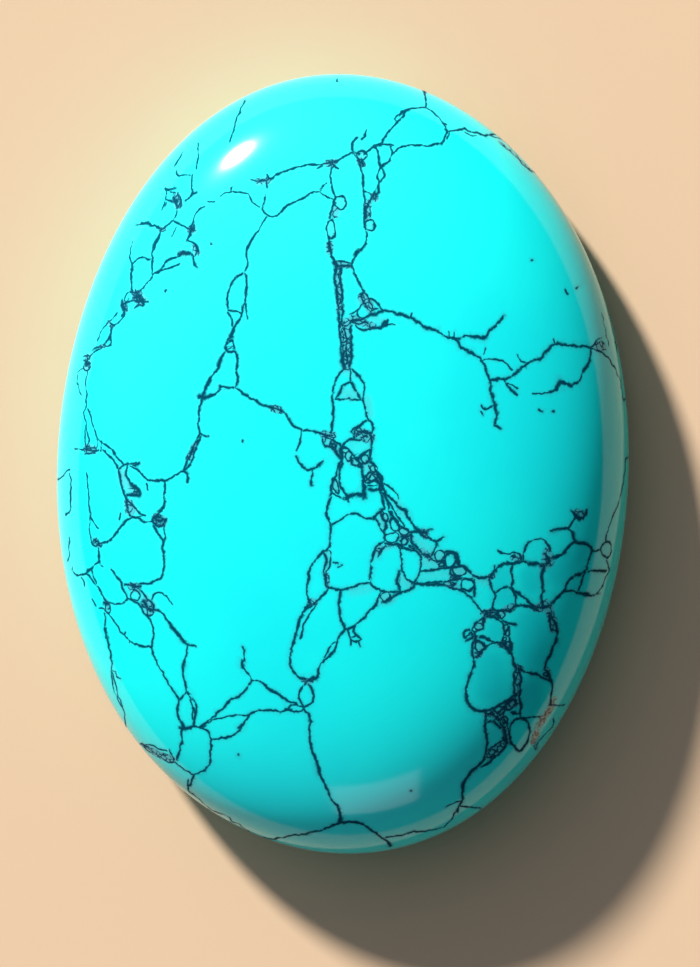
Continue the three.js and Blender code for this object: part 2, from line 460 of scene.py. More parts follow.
         (292,202),(300,199),(305,196),(308,193),(314,191),(319,191),(322,189),(323,185),(326,183)],
        [(266,217),(262,224),(258,230),(254,234),(250,239),(247,247),(245,253),(247,261),(247,266),
         (244,271)],
        [(333,166),(330,171),(330,179),(331,185),(333,191),(335,197),(334,203),(332,208)],
        [(354,153),(352,149),(351,144),(354,140),(356,137)], [(364,191),(369,193),(372,196)],
    ]),
    "top_threads": (0.115, [
        [(250,179),(257,181)], [(319,192),(326,196),(332,199),(335,203)],
        [(204,206),(198,209),(195,213),(193,218),(192,224),(190,229)], [(207,201),(215,201)],
        [(220,196),(225,192),(230,191),(237,191),(241,193),(248,193),(249,199),(254,203),(259,206)],
        [(230,191),(231,186)], [(361,139),(366,135),(366,129)],
        [(244,102),(241,109),(236,117),(234,127),(231,135),(229,142)],
    ]),
    "top_right": (0.142, [
        [(424,94),(426,100),(425,106)],
        [(425,107),(418,107),(412,108),(406,111),(402,114),(403,117),(398,121),(395,123),(392,127),
         (388,131),(385,134),(384,138),(382,143)],
        [(406,110),(401,112),(396,115),(394,118),(396,121)],
        [(447,131),(445,135),(444,140),(440,143),(434,144),(427,146),(420,145),(412,145),(404,145),
         (399,147),(394,151),(391,154)],
        [(447,131),(455,130),(461,129),(467,129),(472,132),(478,133),(484,135),(489,135),(495,137),
         (501,139)],
        [(489,135),(495,134)], [(382,144),(388,145),(393,145)],
        [(390,146),(392,152),(390,159),(385,163),(381,166)],
        [(382,144),(377,144),(373,146),(376,150),(378,155),(379,161),(380,166)],
    ]),
    "top_right_threads": (0.105, [
        [(426,107),(433,112),(438,116),(440,120),(443,124),(446,129)], [(442,123),(446,124)],
        [(446,139),(449,135),(449,131)], [(465,132),(470,135),(476,135)],
        [(501,139),(507,144),(513,150),(518,156),(521,163),(527,168),(533,171)],
        [(373,145),(376,143),(382,142)],
    ]),
    "left_chain": (0.138, [
        [(244,272),(240,274),(235,278),(231,283),(229,288),(227,296),(226,304),(228,309)],
        [(244,272),(246,277),(247,283),(245,291),(245,299),(243,306),(241,313),(240,318)],
        [(240,318),(238,322),(234,326),(232,330),(231,334)],
        [(230,335),(228,339),(226,345),(225,348),(227,351),(231,352),(234,351),(233,345),(232,340),
         (230,335)],
        [(234,351),(237,356),(237,362),(236,369),(237,377),(237,383),(235,387)],
        [(225,351),(221,357),(219,363),(218,367),(214,372),(210,377),(208,383),(205,389),(203,393),
         (202,396)],
        [(198,397),(203,397),(209,396),(215,393),(219,389),(219,385),(224,385),(229,387),(235,387)],
        [(235,387),(240,391),(246,395),(252,399),(258,402),(262,405),(268,406),(274,408),(280,410),
         (284,412),(288,417),(291,422),(293,426),(298,428),(302,430),(308,429),(314,431),(320,433),
         (326,435)],
        [(201,399),(199,407),(198,417),(198,425),(199,432)], [(199,433),(202,435),(208,436)],
        [(199,433),(196,440),(193,446),(191,452),(188,457),(185,465),(183,470)],
        [(200,436),(197,445),(194,452),(190,463),(186,468),(183,471)],
    ]),
    "left_chain_threads": (0.105, [
        [(228,310),(233,311),(238,311),(241,313)], [(227,312),(229,315),(232,319),(231,323),(232,327)],
        [(245,303),(247,319)],
    ]),
    "upper_left": (0.148, [
        [(165,189),(170,190),(175,188)], [(165,189),(166,195),(165,200),(163,205),(161,210)],
        [(166,199),(171,202),(175,200)],
        [(170,191),(176,193),(179,196),(181,203),(179,208),(175,205),(173,197)],
        [(135,225),(141,223),(146,223),(151,224),(157,226),(162,229)],
        [(162,229),(167,225),(170,222),(173,220),(178,223),(183,225),(187,228),(190,229)],
        [(160,232),(158,238),(156,243),(153,250)], [(190,229),(189,235),(188,239),(186,241)],
        [(188,240),(191,241),(195,244),(197,248),(197,253),(195,255)],
        [(132,267),(132,263),(135,260),(141,257),(146,257),(150,259)],
        [(129,256),(131,262),(133,267),(131,272),(131,278),(131,284),(132,290)],
        [(158,272),(163,265),(166,260),(171,257),(177,256),(183,252),(188,253),(192,254),(193,259),
         (193,264),(197,267)],
        [(152,275),(149,280),(145,285),(141,289),(138,291)], [(130,291),(135,293),(139,291)],
        [(135,289),(136,297),(137,301)], [(130,300),(137,301),(143,302),(148,301)],
        [(136,295),(140,299),(143,303),(142,306)], [(132,297),(136,298),(141,295),(139,291)],
        [(130,300),(124,302),(122,306),(123,310),(125,313),(122,317),(120,320),(117,323),(113,325),
         (111,328),(110,334),(108,339),(104,344),(102,347)],
        [(102,347),(96,346),(92,350)], [(102,347),(95,350),(91,355),(89,358)],
    ]),
    "upper_left_threads": (0.122, [
        [(176,171),(177,176),(181,175),(187,174),(192,174),(192,179),(191,187),(193,193),(188,198),
         (184,201)],
        [(193,193),(196,192)], [(177,209),(176,215),(173,219)], [(176,226),(173,233),(171,236)],
        [(193,224),(193,229),(190,232)], [(153,250),(152,256),(151,263),(152,269),(152,274)],
        [(152,275),(157,272),(163,269),(171,267),(175,266),(179,263)], [(132,241),(130,249),(129,256)],
        [(134,307),(138,304),(142,305)], [(129,291),(125,295),(124,300)],
        [(125,302),(126,306),(123,308),(127,310)],
        [(117,312),(112,318),(109,322),(104,325),(101,331),(98,336),(97,340)], [(109,322),(113,325)],
        [(110,334),(110,345),(104,346)], [(198,144),(198,152),(197,163),(196,168)],
        [(183,150),(179,159),(174,165)],
    ]),
    "left_rim": (0.115, [
        [(83,356),(88,355)], [(83,360),(87,361),(90,363)],
        [(82,368),(77,371),(76,377),(77,383),(79,389),(81,395)],
        [(87,370),(86,377),(85,385),(86,395),(86,404)],
        [(86,405),(83,411),(84,417),(86,423),(86,431),(88,437),(90,441),(86,444),(86,448)],
        [(87,408),(90,415),(91,421),(93,428),(96,435),(99,440)], [(85,425),(85,435),(85,444)],
        [(85,449),(91,450),(96,451),(99,449)], [(84,454),(88,453),(93,452)], [(85,446),(90,447),(96,448)],
        [(96,435),(97,441),(96,448)], [(74,448),(83,449)], [(101,441),(101,447),(100,451)],
        [(58,479),(62,475),(66,470),(69,468),(70,475),(71,485),(70,495),(70,507),(68,513),(64,515),
         (66,511)],
        [(69,537),(69,545),(69,555),(67,560)], [(86,473),(87,483),(88,493),(89,503),(90,513)],
        [(90,515),(89,525),(89,533),(91,540),(92,544),(96,547),(98,544),(102,542)],
        [(90,517),(93,522),(96,526),(98,528)], [(96,538),(92,541)],
        [(72,567),(73,573),(76,575),(81,574),(86,573)], [(91,570),(93,576),(96,583)], [(81,577),(84,585)],
    ]),
    "left_middle": (0.145, [
        [(99,440),(104,444),(109,447),(112,451),(116,456),(120,460),(123,464)],
        [(102,449),(107,454),(112,458),(115,463),(117,468)],
        [(118,469),(122,465),(127,464),(132,463),(136,462)],
        [(118,470),(119,477),(121,485),(124,493),(126,498),(130,503),(134,508),(139,512),(144,515)],
        [(127,465),(125,471),(126,477),(130,482),(134,486),(139,491),(139,496),(134,494),(130,494),
         (126,495)],
        [(130,466),(135,468),(139,472),(143,476),(147,479),(153,480),(159,480),(164,480)],
        [(125,495),(127,503),(128,511),(130,516)],
        [(127,519),(132,517),(137,517),(141,520),(146,522),(151,521)],
        [(102,542),(106,541),(110,539),(113,535),(117,531),(121,526),(124,522),(127,519)],
        [(164,481),(165,487),(164,495),(164,503),(162,509),(158,512),(154,516),(151,520)],
        [(151,520),(155,515),(159,517),(166,518),(164,524),(159,527),(154,523),(151,520)],
        [(153,525),(156,531),(159,535),(162,540)], [(164,525),(163,531),(165,535),(164,540)],
        [(163,541),(162,549),(164,557),(163,567),(162,575),(160,578)],
        [(160,578),(154,580),(148,583),(141,583),(138,584)],
        [(164,480),(169,479),(173,476),(178,473),(183,471)], [(183,471),(186,473),(188,477),(187,481)],
        [(98,548),(98,555),(99,560),(102,566)], [(99,561),(95,564),(92,567),(89,570),(86,573)],
        [(86,573),(89,576),(92,580),(96,585),(99,588),(100,591),(103,597),(106,602)],
    ]),
    "left_middle_threads": (0.105, [
        [(146,483),(147,489)], [(120,513),(119,519)], [(131,516),(137,517),(141,516),(145,515)],
        [(92,599),(95,605)], [(98,608),(104,608)],
    ]),
    "lower_left": (0.14, [
        [(111,569),(115,575),(120,581),(122,586),(124,591),(127,598)],
        [(106,602),(111,603),(117,604),(122,603),(125,600),(127,598)],
        [(124,584),(130,585),(135,587),(140,586)],
        [(127,598),(132,600),(137,602),(141,607),(144,613),(148,617)],
        [(140,590),(143,594),(147,598),(151,600),(153,604),(153,608)],
        [(153,609),(158,611),(162,613),(165,618),(168,622),(172,627),(175,632),(179,636),(183,641),
         (187,644)],
        [(187,644),(192,645),(196,646)], [(148,617),(151,619),(152,625),(154,632),(153,639),(151,647)],
        [(108,613),(112,619),(116,625),(120,631),(125,636),(129,640),(135,643),(143,646),(151,647)],
        [(104,613),(105,623),(104,630),(106,633),(107,641),(109,648),(110,656),(111,664),(111,672)],
        [(151,647),(153,655),(157,662),(161,671),(166,679),(170,687),(175,693),(179,699)],
        [(187,646),(186,653),(184,659),(182,667),(183,673),(184,681),(186,687),(186,691)],
        [(186,691),(183,696),(179,700),(177,706),(177,713),(179,719),(182,725),(185,728)],
        [(186,691),(190,697),(194,700),(196,706),(196,712),(194,718),(193,725)],
        [(185,728),(188,727),(193,726),(198,727),(203,728),(207,730),(209,734),(211,739)],
        [(182,725),(181,732),(182,740),(180,748),(178,754),(176,760)],
        [(211,739),(211,746),(210,754),(210,760),(208,765),(204,769),(199,772),(194,774)],
        [(175,762),(180,767),(185,770),(190,773),(194,774)],
        [(194,774),(191,779),(191,783),(188,787),(188,791),(193,794),(198,798),(204,804),(210,809),
         (215,811),(220,813)],
        [(198,727),(204,723),(209,720),(214,716),(217,712),(222,708),(227,703),(232,698),(237,697),
         (241,693),(246,689),(248,684),(251,681)],
        [(247,715),(252,712),(260,710),(270,710),(280,710),(287,710),(294,711),(300,711),(303,709)],
        [(211,739),(218,738),(226,737),(232,735),(237,732),(241,726),(245,721),(248,715)],
        [(251,680),(260,681),(264,684),(266,688),(272,691),(278,694),(284,698),(290,702),(296,704),
         (303,708)],
        [(307,680),(302,686),(298,693),(299,700),(303,707)],
        [(308,683),(312,689),(313,697),(311,704),(306,706),(303,708)],
    ]),
    "lower_left_threads": (0.105, [
        [(151,599),(153,594),(158,592),(162,592),(166,596),(169,600),(172,604)], [(124,634),(125,631)],
        [(129,640),(129,643)],
        [(111,672),(111,680),(113,688),(116,696),(120,704),(123,710),(124,716),(125,722),(126,728),
         (129,733),(133,738),(137,742)],
        [(112,670),(113,678),(115,686),(118,696),(122,706)], [(112,670),(116,672),(117,676),(120,678)],
        [(137,742),(142,744),(148,748),(153,753),(160,757),(168,761),(175,762)],
        [(140,743),(148,744),(154,746),(160,749),(166,750)], [(169,749),(172,755),(174,761)],
        [(190,698),(193,709),(192,718)], [(188,779),(187,786)],
        [(220,813),(226,815),(232,820),(238,824),(244,828),(252,833),(260,837)],
        [(206,722),(214,719),(222,717),(230,716),(238,715),(247,715)],
        [(242,647),(244,652),(243,659),(242,662),(243,668),(247,672),(250,676),(251,681)],
        [(287,709),(289,704),(296,704)],
    ]),
    "bottom": (0.15, [
        [(303,709),(308,714),(311,720),(309,727),(309,735),(310,743),(311,750),(314,757),(317,765),
         (320,773),(323,781),(326,789),(330,797),(334,802),(338,808),(340,814),(339,822)],
        [(339,822),(333,825),(326,828),(319,830),(309,833),(299,834),(289,835),(279,837),(272,838),
         (260,837)],
        [(339,821),(345,822),(351,821),(357,822),(363,824),(368,827),(373,831),(379,835),(385,840),
         (389,844)],
        [(386,837),(395,836),(403,834),(411,832),(419,831),(429,830),(436,828)],
    ]),
    "knots": (0.2, [
        [(173,197),(177,201)], [(165,189),(170,189),(174,187)], [(162,208),(166,202)],
        [(139,223),(146,222),(152,225),(158,227)], [(158,238),(154,245),(152,251)],
        [(177,254),(184,251),(189,253)], [(197,248),(198,253)], [(136,292),(139,298),(143,302)],
        [(122,300),(122,308),(124,312),(121,317)], [(190,226),(192,230)], [(132,263),(131,269)],
        [(197,440),(193,447),(190,453)], [(199,396),(203,397)], [(133,465),(138,463)],
        [(153,517),(158,521),(163,518)], [(158,511),(162,508)], [(97,544),(100,545)],
        [(131,585),(136,587)], [(143,601),(147,606),(150,610)], [(104,603),(108,604)],
        [(170,625),(176,632),(183,640),(187,644)], [(186,690),(189,694)], [(193,708),(195,714)],
        [(179,727),(184,728)], [(199,727),(204,724)], [(105,628),(106,637)], [(242,660),(242,667)],
        [(302,678),(307,679),(312,677)], [(304,609),(309,604)], [(238,728),(242,724)],
        [(285,709),(291,710)], [(399,114),(404,110),(409,108)], [(445,129),(447,133)],
        [(354,152),(358,154)], [(361,160),(362,165)], [(372,195),(375,198)],
        [(365,206),(366,213),(365,218)], [(328,243),(330,250)], [(333,261),(337,266)],
        [(319,189),(323,186)], [(354,254),(358,250)],
    ]),
}

# Specks of matrix alone in the blue, with a width and strokes as the veins have.
SPECKS = (0.13, [
    [(565,290),(567,293)], [(575,288),(576,288)], [(538,409),(542,411)], [(552,411),(553,411)],
    [(531,260),(532,260)], [(211,243),(211,244)], [(165,290),(165,291)], [(242,440),(242,441)],
    [(238,754),(238,755)], [(336,81),(337,81)], [(410,790),(411,790)],
])

# Small closed cells between the seams: how grey their filling is, then each one's centre and half sizes
# in pixels and its tilt in degrees.
CELLS = {
    "top_cells": (0.25, [
        (361,155,5,4,0), (369,225,5,5.5,0), (340,202,6,6.5,0), (330.5,229,4.5,9,0),
    ]),
    "left_cells": (0.3, [
        (107,608,3,4.5,0), (134.5,595,5,5,0), (149,611,3,4,0), (86,366,3,4,0),
    ]),
    "ridge_cells": (0.55, [
        (345,450,3.5,2.5,0), (333,445,2.5,1.5,45), (364,459,3.5,4.5,0), (355,462,4,3,40),
        (348,456,3.5,4.5,0), (371,476,5,4,20), (366,481,3,2,0), (373,468,3,3,0), (381,487,1.5,3,0),
        (385,516,2.5,3.5,-20), (382,513,1.5,2.5,0), (404,541,3.2,3.2,0), (399.5,546,2,2,0),
        (403,531,5,3.5,10), (441,564,2.5,2,0), (458,570.5,7,4.5,8), (439,555,5,5,0), (448,583,5,2,5),
        (385,596,4.5,4,-20), (412,547,2.5,1.2,30), (335,485,3,7,-15), (457.5,562,1.5,2,0),
    ]),
    "clear_cells": (0.12, [
        (394,524,4.5,7.5,-15), (391,537.5,7.5,5,0), (450,559.5,5.5,7.5,10), (467,584,6.5,6.5,0),
    ]),
    "cluster_cells": (0.55, [
        (478,626,4.5,4,0), (491,613.5,4.8,2.2,0), (501,614,4.2,3.5,0), (505,627,2.5,3,0),
        (507,633.5,2,3,0), (504,639,1.8,1.8,0), (507.5,644,3,3.2,0), (479,646.5,5,5,0),
        (510,704,6.5,4,-40), (499,710,4.5,4,0), (504,719,2.5,4,0), (545,674,2.5,1.8,0),
    ]),
}

# Bands of dense dark crackle: a half width in pixels and the band's centre line.
BANDS = [
    (3.5, [(338,268),(339,310)]), (5, [(345,322),(346,366)]), (3, [(334,262),(350,266)]),
    (5, [(362,296),(370,308)]), (4, [(352,318),(372,326)]), (4.5, [(324,434),(332,435)]),
    (6, [(358,432),(369,437)]), (3.5, [(403,536),(410,537)]), (4, [(422,551),(429,557)]),
    (4, [(423,531),(425,535)]), (3, [(326,576),(327,586)]), (4, [(310,602),(314,602)]),
    (6, [(547,553),(548,563)]), (5, [(577,513),(581,514)]), (4, [(513,557),(518,557)]),
    (3, [(376,550),(380,547)]), (3, [(449,585),(456,586)]), (3.5, [(452,577),(458,578)]),
    (3, [(474,634),(474,642)]), (4, [(476,655),(480,654)]), (4, [(517,670),(516,704)]),
    (5, [(493,713),(499,718)]), (5, [(505,728),(506,742)]), (7, [(490,754),(499,748)]),
    (5, [(510,703),(506,707)]), (4.5, [(535,607),(550,608)]), (5, [(550,613),(554,628)]),
    (3, [(484,616),(483,622)]), (3.5, [(193,246),(197,252)]), (3, [(180,252),(186,253)]),
    (3, [(108,322),(112,326)]), (3, [(100,346),(104,346)]), (5, [(176,196),(178,205)]),
    (3, [(160,229),(164,229)]), (4, [(189,229),(193,229)]), (3, [(180,253),(184,253)]),
    (7, [(136,295),(140,299)]), (4, [(123,303),(125,309)]), (5, [(87,357),(87,367)]),
    (5, [(86,448),(93,449)]), (5, [(128,503),(129,511)]), (6, [(157,518),(161,521)]),
    (5, [(131,586),(137,587)]), (6, [(145,603),(149,609)]), (4, [(106,602),(108,606)]),
    (4, [(95,540),(99,544)]), (4, [(258,181),(268,180)]), (4, [(327,163),(333,162)]),
    (4, [(359,160),(362,164)]), (4, [(367,204),(367,217)]), (4, [(373,196),(375,198)]),
    (4, [(329,244),(329,250)]), (4, [(335,210),(335,214)]), (4, [(273,408),(279,410)]),
    (3, [(195,444),(188,458)]), (5, [(597,345),(603,346)]), (4, [(501,143),(530,170)]),
    (6, [(144,746),(171,759)]), (3, [(303,680),(311,681)]), (4, [(484,612),(490,611)]),
    (4, [(505,609),(512,607)]), (4, [(541,604),(546,602)]), (3.5, [(489,577),(493,575)]),
    (4, [(541,566),(546,562)]), (3.5, [(500,643),(506,646)]), (4, [(516,667),(520,669)]),
    (3.5, [(545,668),(549,676)]), (3, [(534,742),(536,748)]), (3.5, [(484,712),(489,714)]),
]

# Bands where the stone between the seams is greyed: as above, and how grey.
HAZE = [
    (4, [(121,471),(123,480),(128,487),(135,492)], 0.5), (4, [(127,503),(134,510)], 0.45),
    (5, [(146,598),(152,606)], 0.45), (3.5, [(325,437),(338,452)], 0.5), (4, [(365,462),(374,478)], 0.5),
    (5, [(425,562),(437,565)], 0.4), (4, [(420,576),(447,574)], 0.25), (4.5, [(400,579),(409,585)], 0.4),
    (5, [(352,591),(368,588)], 0.25), (3, [(327,552),(326,572)], 0.35),
    (3, [(375,556),(378,549),(390,546)], 0.4), (3.5, [(396,501),(404,515)], 0.3),
    (4, [(413,538),(431,550)], 0.3), (4, [(380,599),(392,598)], 0.45), (3.5, [(345,452),(349,460)], 0.45),
    (4, [(380,515),(384,526)], 0.45), (6, [(354,446),(362,446)], 0.2), (4, [(470,575),(486,582)], 0.25),
    (5, [(345,393),(354,394)], 0.4), (3.5, [(367,398),(370,414)], 0.35), (3, [(344,372),(354,376)], 0.25),
    (3, [(150,746),(168,757)], 0.35), (4, [(361,300),(370,303)], 0.35), (3, [(372,318),(384,321)], 0.3),
]

# Cells of a deeper blue at the lower right, as half widths and centre lines: partly their own deeper tone,
# partly painted shade on the side of the dome turned from the key. Then the strip of grey host rock left at
# the lower right rim.
DEEP_SHADED_CELLS = [
    (15, [(489,664),(489,688)]), (17, [(531,622),(530,648)]), (12, [(533,690),(532,704)]),
    (11, [(556,572),(576,552)]), (9, [(500,574),(499,598)]), (9, [(528,575),(530,584)]),
    (9, [(505,598),(507,600)]), (8, [(494,628),(495,632)]),
]
HOST_ROCK = (5.5, [(553,701),(549,710),(544,716),(539,724),(536,732),(534,740)], 1.0)

# Seams at the back and edge: they run through the stone, so each also comes out at the back, and those
# that reach the rim run down round the edge.
RIM_SHARE = 0.93
EDGE_TURN = 0.012
EDGE_SPACING = 0.12
EDGE_POINTS = 13
BACK_DRIFTS = ((2, 0.10, 0.6), (5, 0.05, 0.0))
BACK_PULL = 0.16
PULL_LOBES = 3
random = np.random.default_rng(11)


def turn_between(first, second):
    """The turn from one direction to another, wrapped to half a circle either way."""
    return (second - first + np.pi) % (2 * np.pi) - np.pi


def on_back(line):
    """The seam at the back: its share of the radius shrunk to the back's, its direction bent by waves."""
    share, direction = share_and_angle(line[:, 0], line[:, 1])
    drift = sum(height * np.sin(lobes * direction + phase) for lobes, height, phase in BACK_DRIFTS)
    pull = 1 - BACK_PULL * share * (1 - share) * (1 + np.cos(PULL_LOBES * direction))
    x, y = plan_point(np.minimum(share, 1) * pull * BACK_SHARE, direction + drift)
    return np.stack([x + SHIFT_X, y + SHIFT_Y, 0 * x], -1)


def down_edge(rim_end, back_end):
    """A seam's run from rim to back: a quarter turn of the edge's profile, its direction eased across."""
    (_, rim_direction), (_, back_direction) = [share_and_angle(*end[:2]) for end in (rim_end, back_end)]
    quarter = np.linspace(0, np.pi / 2, EDGE_POINTS)
    swing = turn_between(rim_direction, back_direction)
    jogs = np.cumsum(random.normal(0, EDGE_TURN, EDGE_POINTS))
    share, height = edge_profile(quarter)
    x, y = plan_point(share, rim_direction + swing * np.sin(quarter) ** 2 + jogs)
    return np.concatenate([[rim_end], np.stack([x + SHIFT_X, y + SHIFT_Y, height], -1)])


# Courses of the seams: each is cut into short steps, with every turn set a little off the line, as cracks
# run. Those close together go to different layers, so each layer's distances stay smooth between vertices.
# Steps, turns and gaps are in pixels, and a seam as wide as BACK_WIDTH, in millimetres, shows at the back.
LAYERS = 8
CROWDED = 14
BACK_WIDTH = 0.12
CRACK_STEP = 3.5
CRACK_TURN = 0.45


def cracked(stroke):
    """The stroke's line sampled at even steps along its length, the inner samples shifted at random."""
    stroke = np.array(stroke, float)
    along = np.concatenate([[0], np.cumsum(np.hypot(*np.diff(stroke, axis=0).T))])
    marks = np.linspace(0, along[-1], max(2, round(along[-1] / CRACK_STEP) + 1))
    line = np.stack([np.interp(marks, along, side) for side in stroke.T], -1)
    line[1:-1] += random.normal(0, CRACK_TURN, line[1:-1].shape)
    return line


bundles = [*VEINS.values(), SPECKS]
strokes = [(width, cracked(stroke)) for width, group in bundles for stroke in group]
layered_seams = [[] for _ in range(LAYERS)]
layer_of = []
edge_seams = []
for number, (width, stroke) in enumerate(strokes):
    crowd = np.zeros(LAYERS)
    for other in range(number):
        gaps = np.linalg.norm(stroke[:, None, :] - strokes[other][1][None, :, :], axis=-1)
        crowd[layer_of[other]] += np.count_nonzero(gaps < CROWDED)
    layer_of.append(int(np.argmin(crowd)))
    chosen = layered_seams[layer_of[-1]]
    seam = on_dome(stroke)
    chosen.append((width, seam))
    if width >= BACK_WIDTH:
        chosen.append((width, on_back(seam)))
    for end in (seam[0], seam[-1]):
        end_share, direction = share_and_angle(*end[:2])
        spacing = min([abs(turn_between(other, direction)) for other in edge_seams], default=np.pi)
        if end_share > RIM_SHARE and spacing > EDGE_SPACING:
            edge_seams.append(direction)
            chosen.append((width, down_edge(end, on_back(end[None])[0])))

# Distances to the seams, kept at every vertex in half widths of the seam that they lead to, so that a wide
# seam wanders more than a thread.
REACH = 1.0 * MM
MESH_STEP = 0.1 * MM
THREAD_HALF_WIDTH = 0.05 * MM
NO_SEAM = REACH / THREAD_HALF_WIDTH
NO_LENGTH = 1e-18


def paint_attribute(name, kind, values):
    """A named value at every vertex of the stone."""
    field = "vector" if kind == "FLOAT_VECTOR" else "value"
    attribute = stone_mesh.attributes.new(name, kind, "POINT")
    attribute.data.foreach_set(field, values.astype(np.float32).ravel())


def to_step(spots, begin, end):
    """Offset from each spot to a straight step: to its foot on the line, held between the two ends."""
    along = end - begin
    part = np.clip((spots - begin) @ along / (along @ along + NO_LENGTH), 0, 1)
    return begin + part[:, None] * along - spots


for layer, chosen in enumerate(layered_seams):
    step = np.tile([NO_SEAM, 0.0, 0.0], (len(points), 1))
    far = np.full(len(points), REACH)
    share_far = np.full(len(points), NO_SEAM)
    for width, line in chosen:
        half = width / 2 * MM
        beside = (points > line.min(0) - REACH) & (points < line.max(0) + REACH)
        near = np.all(beside, axis=1).nonzero()[0]
        for begin, end in zip(line[:-1], line[1:]):
            offset = to_step(points[near], begin, end)
            distance = np.linalg.norm(offset, axis=1)
            closer = distance < far[near]
            step[near[closer]] = offset[closer] / half
            far[near[closer]] = distance[closer]
            share_far[near[closer]] = (distance[closer] - MESH_STEP) / half
    paint_attribute(f"seam_step_{layer}", "FLOAT_VECTOR", step)
    paint_attribute(f"seam_far_{layer}", "FLOAT", share_far)

# Walls of the small cells: each vertex near a cell holds its place in the cell's own frame, stretched so
# that the wall is a circle, and that circle's radius, all in pixels. Close cells go to different layers.
CELL_LAYERS = 8
CELL_REACH = 5.0
CELL_ROOM = 2.6 * CELL_REACH
NO_CELL = (0.0, 0.0, -20.0)


def crowded(cell, other):
    """Whether two cells are too close for one layer: their centres' gap against their sizes and reach."""
    gap = math.hypot(cell[0] - other[0], cell[1] - other[1])
    return gap < max(cell[2:4]) + max(other[2:4]) + CELL_ROOM


layered_cells = [[] for _ in range(CELL_LAYERS)]
for cell in [cell for _, group in CELLS.values() for cell in group]:
    crowd = [sum(crowded(cell, other) for other in group) for group in layered_cells]
    layered_cells[int(np.argmin(crowd))].append(cell)
pixels = to_pixels(points)
for layer, chosen in enumerate(layered_cells):
    local = np.tile(NO_CELL, (len(points), 1))
    closest = np.where(np.arange(len(points)) < len(dome), CELL_REACH, -np.inf)
    for x, y, half_x, half_y, tilt in chosen:
        lean = math.radians(tilt)
        ring = math.sqrt(half_x * half_y)
        from_x = pixels[:, 0] - x
        from_y = pixels[:, 1] - y
        across = (from_x * math.cos(lean) + from_y * math.sin(lean)) * ring / half_x
        down = (from_y * math.cos(lean) - from_x * math.sin(lean)) * ring / half_y
        gap = np.hypot(across, down) - ring
        closer = gap < closest
        closest[closer] = gap[closer]
        local[closer] = np.stack([across, down, 0 * across + ring], -1)[closer]
    paint_attribute(f"cell_{layer}", "FLOAT_VECTOR", local)

# Patches of colour: the fillings of the cells and the bands, each at its full level in the middle and
# fading just past its half width.
PATCH_FADE = (1.6, 1.1)
SHORTEST_RUN = 0.1


def cell_filling(grey, x, y, half_x, half_y, tilt):
    """The band that fills a cell: a half width, a centre line along its longer way, and its level."""
    lean = math.radians(tilt) + (math.pi / 2 if half_y > half_x else 0)
    half = min(half_x, half_y)
    run = max(half_x, half_y) - half + SHORTEST_RUN
    side = np.array([run * math.cos(lean), run * math.sin(lean)])
    return half, [(x, y) - side, (x, y) + side], grey


def band_level(bands):
    """For every vertex, a band's level inside it, falling to nothing just past its half width."""
    level = np.zeros(len(points))
    inside, slope = PATCH_FADE
    for half, line, top in bands:
        line = on_dome(line)
        reach = half / PIXELS_PER_MM * MM
        for begin, end in zip(line[:-1], line[1:]):
            distance = np.linalg.norm(to_step(points, begin, end), axis=1)
            level = np.maximum(level, top * np.clip(inside - slope * distance / reach, 0, 1))
    return level


fillings = [cell_filling(grey, *cell) for grey, group in CELLS.values() for cell in group]
paint_attribute("dense", "FLOAT", band_level([(*band, 1.0) for band in BANDS]))
paint_attribute("grey", "FLOAT", band_level(fillings + HAZE))
paint_attribute("host_rock", "FLOAT", band_level([HOST_ROCK]))
# Where the lower right cells hold their deeper tone and painted shade.
paint_attribute("deep_shaded", "FLOAT", band_level([(*band, 1.0) for band in DEEP_SHADED_CELLS]))


# Finish of the stone: sky-blue turquoise with a polished skin, and dark seams in the colour only, which are
# softer than the stone and take no polish. Noise scales are per metre.
SKY_BLUE = (0.005, 0.69, 0.705, 1)
GREENER_BLUE = (0.006, 0.74, 0.72, 1)
STAINED_BLUE = (0.02, 0.40, 0.45, 1)
# Deep blue of the lower right cells: their own deeper tone, darkened further as painted shade.
DEEP_SHADED_BLUE = (0.002, 0.42, 0.47, 1)
GREYED_BLUE = (0.07, 0.34, 0.38, 1)
CRACKLED_BLUE = (0.06, 0.30, 0.38, 1)
DARK_GRAIN = (0.008, 0.04, 0.04, 1)
PALE_GRAIN = (0.27, 0.46, 0.40, 1)
SEAM_NAVY = (0.0006, 0.034, 0.068, 1)
POLISH_ROUGHNESS = 0.1
STONE_IOR = 1.5
SEAM_ROUGHNESS = 0.5


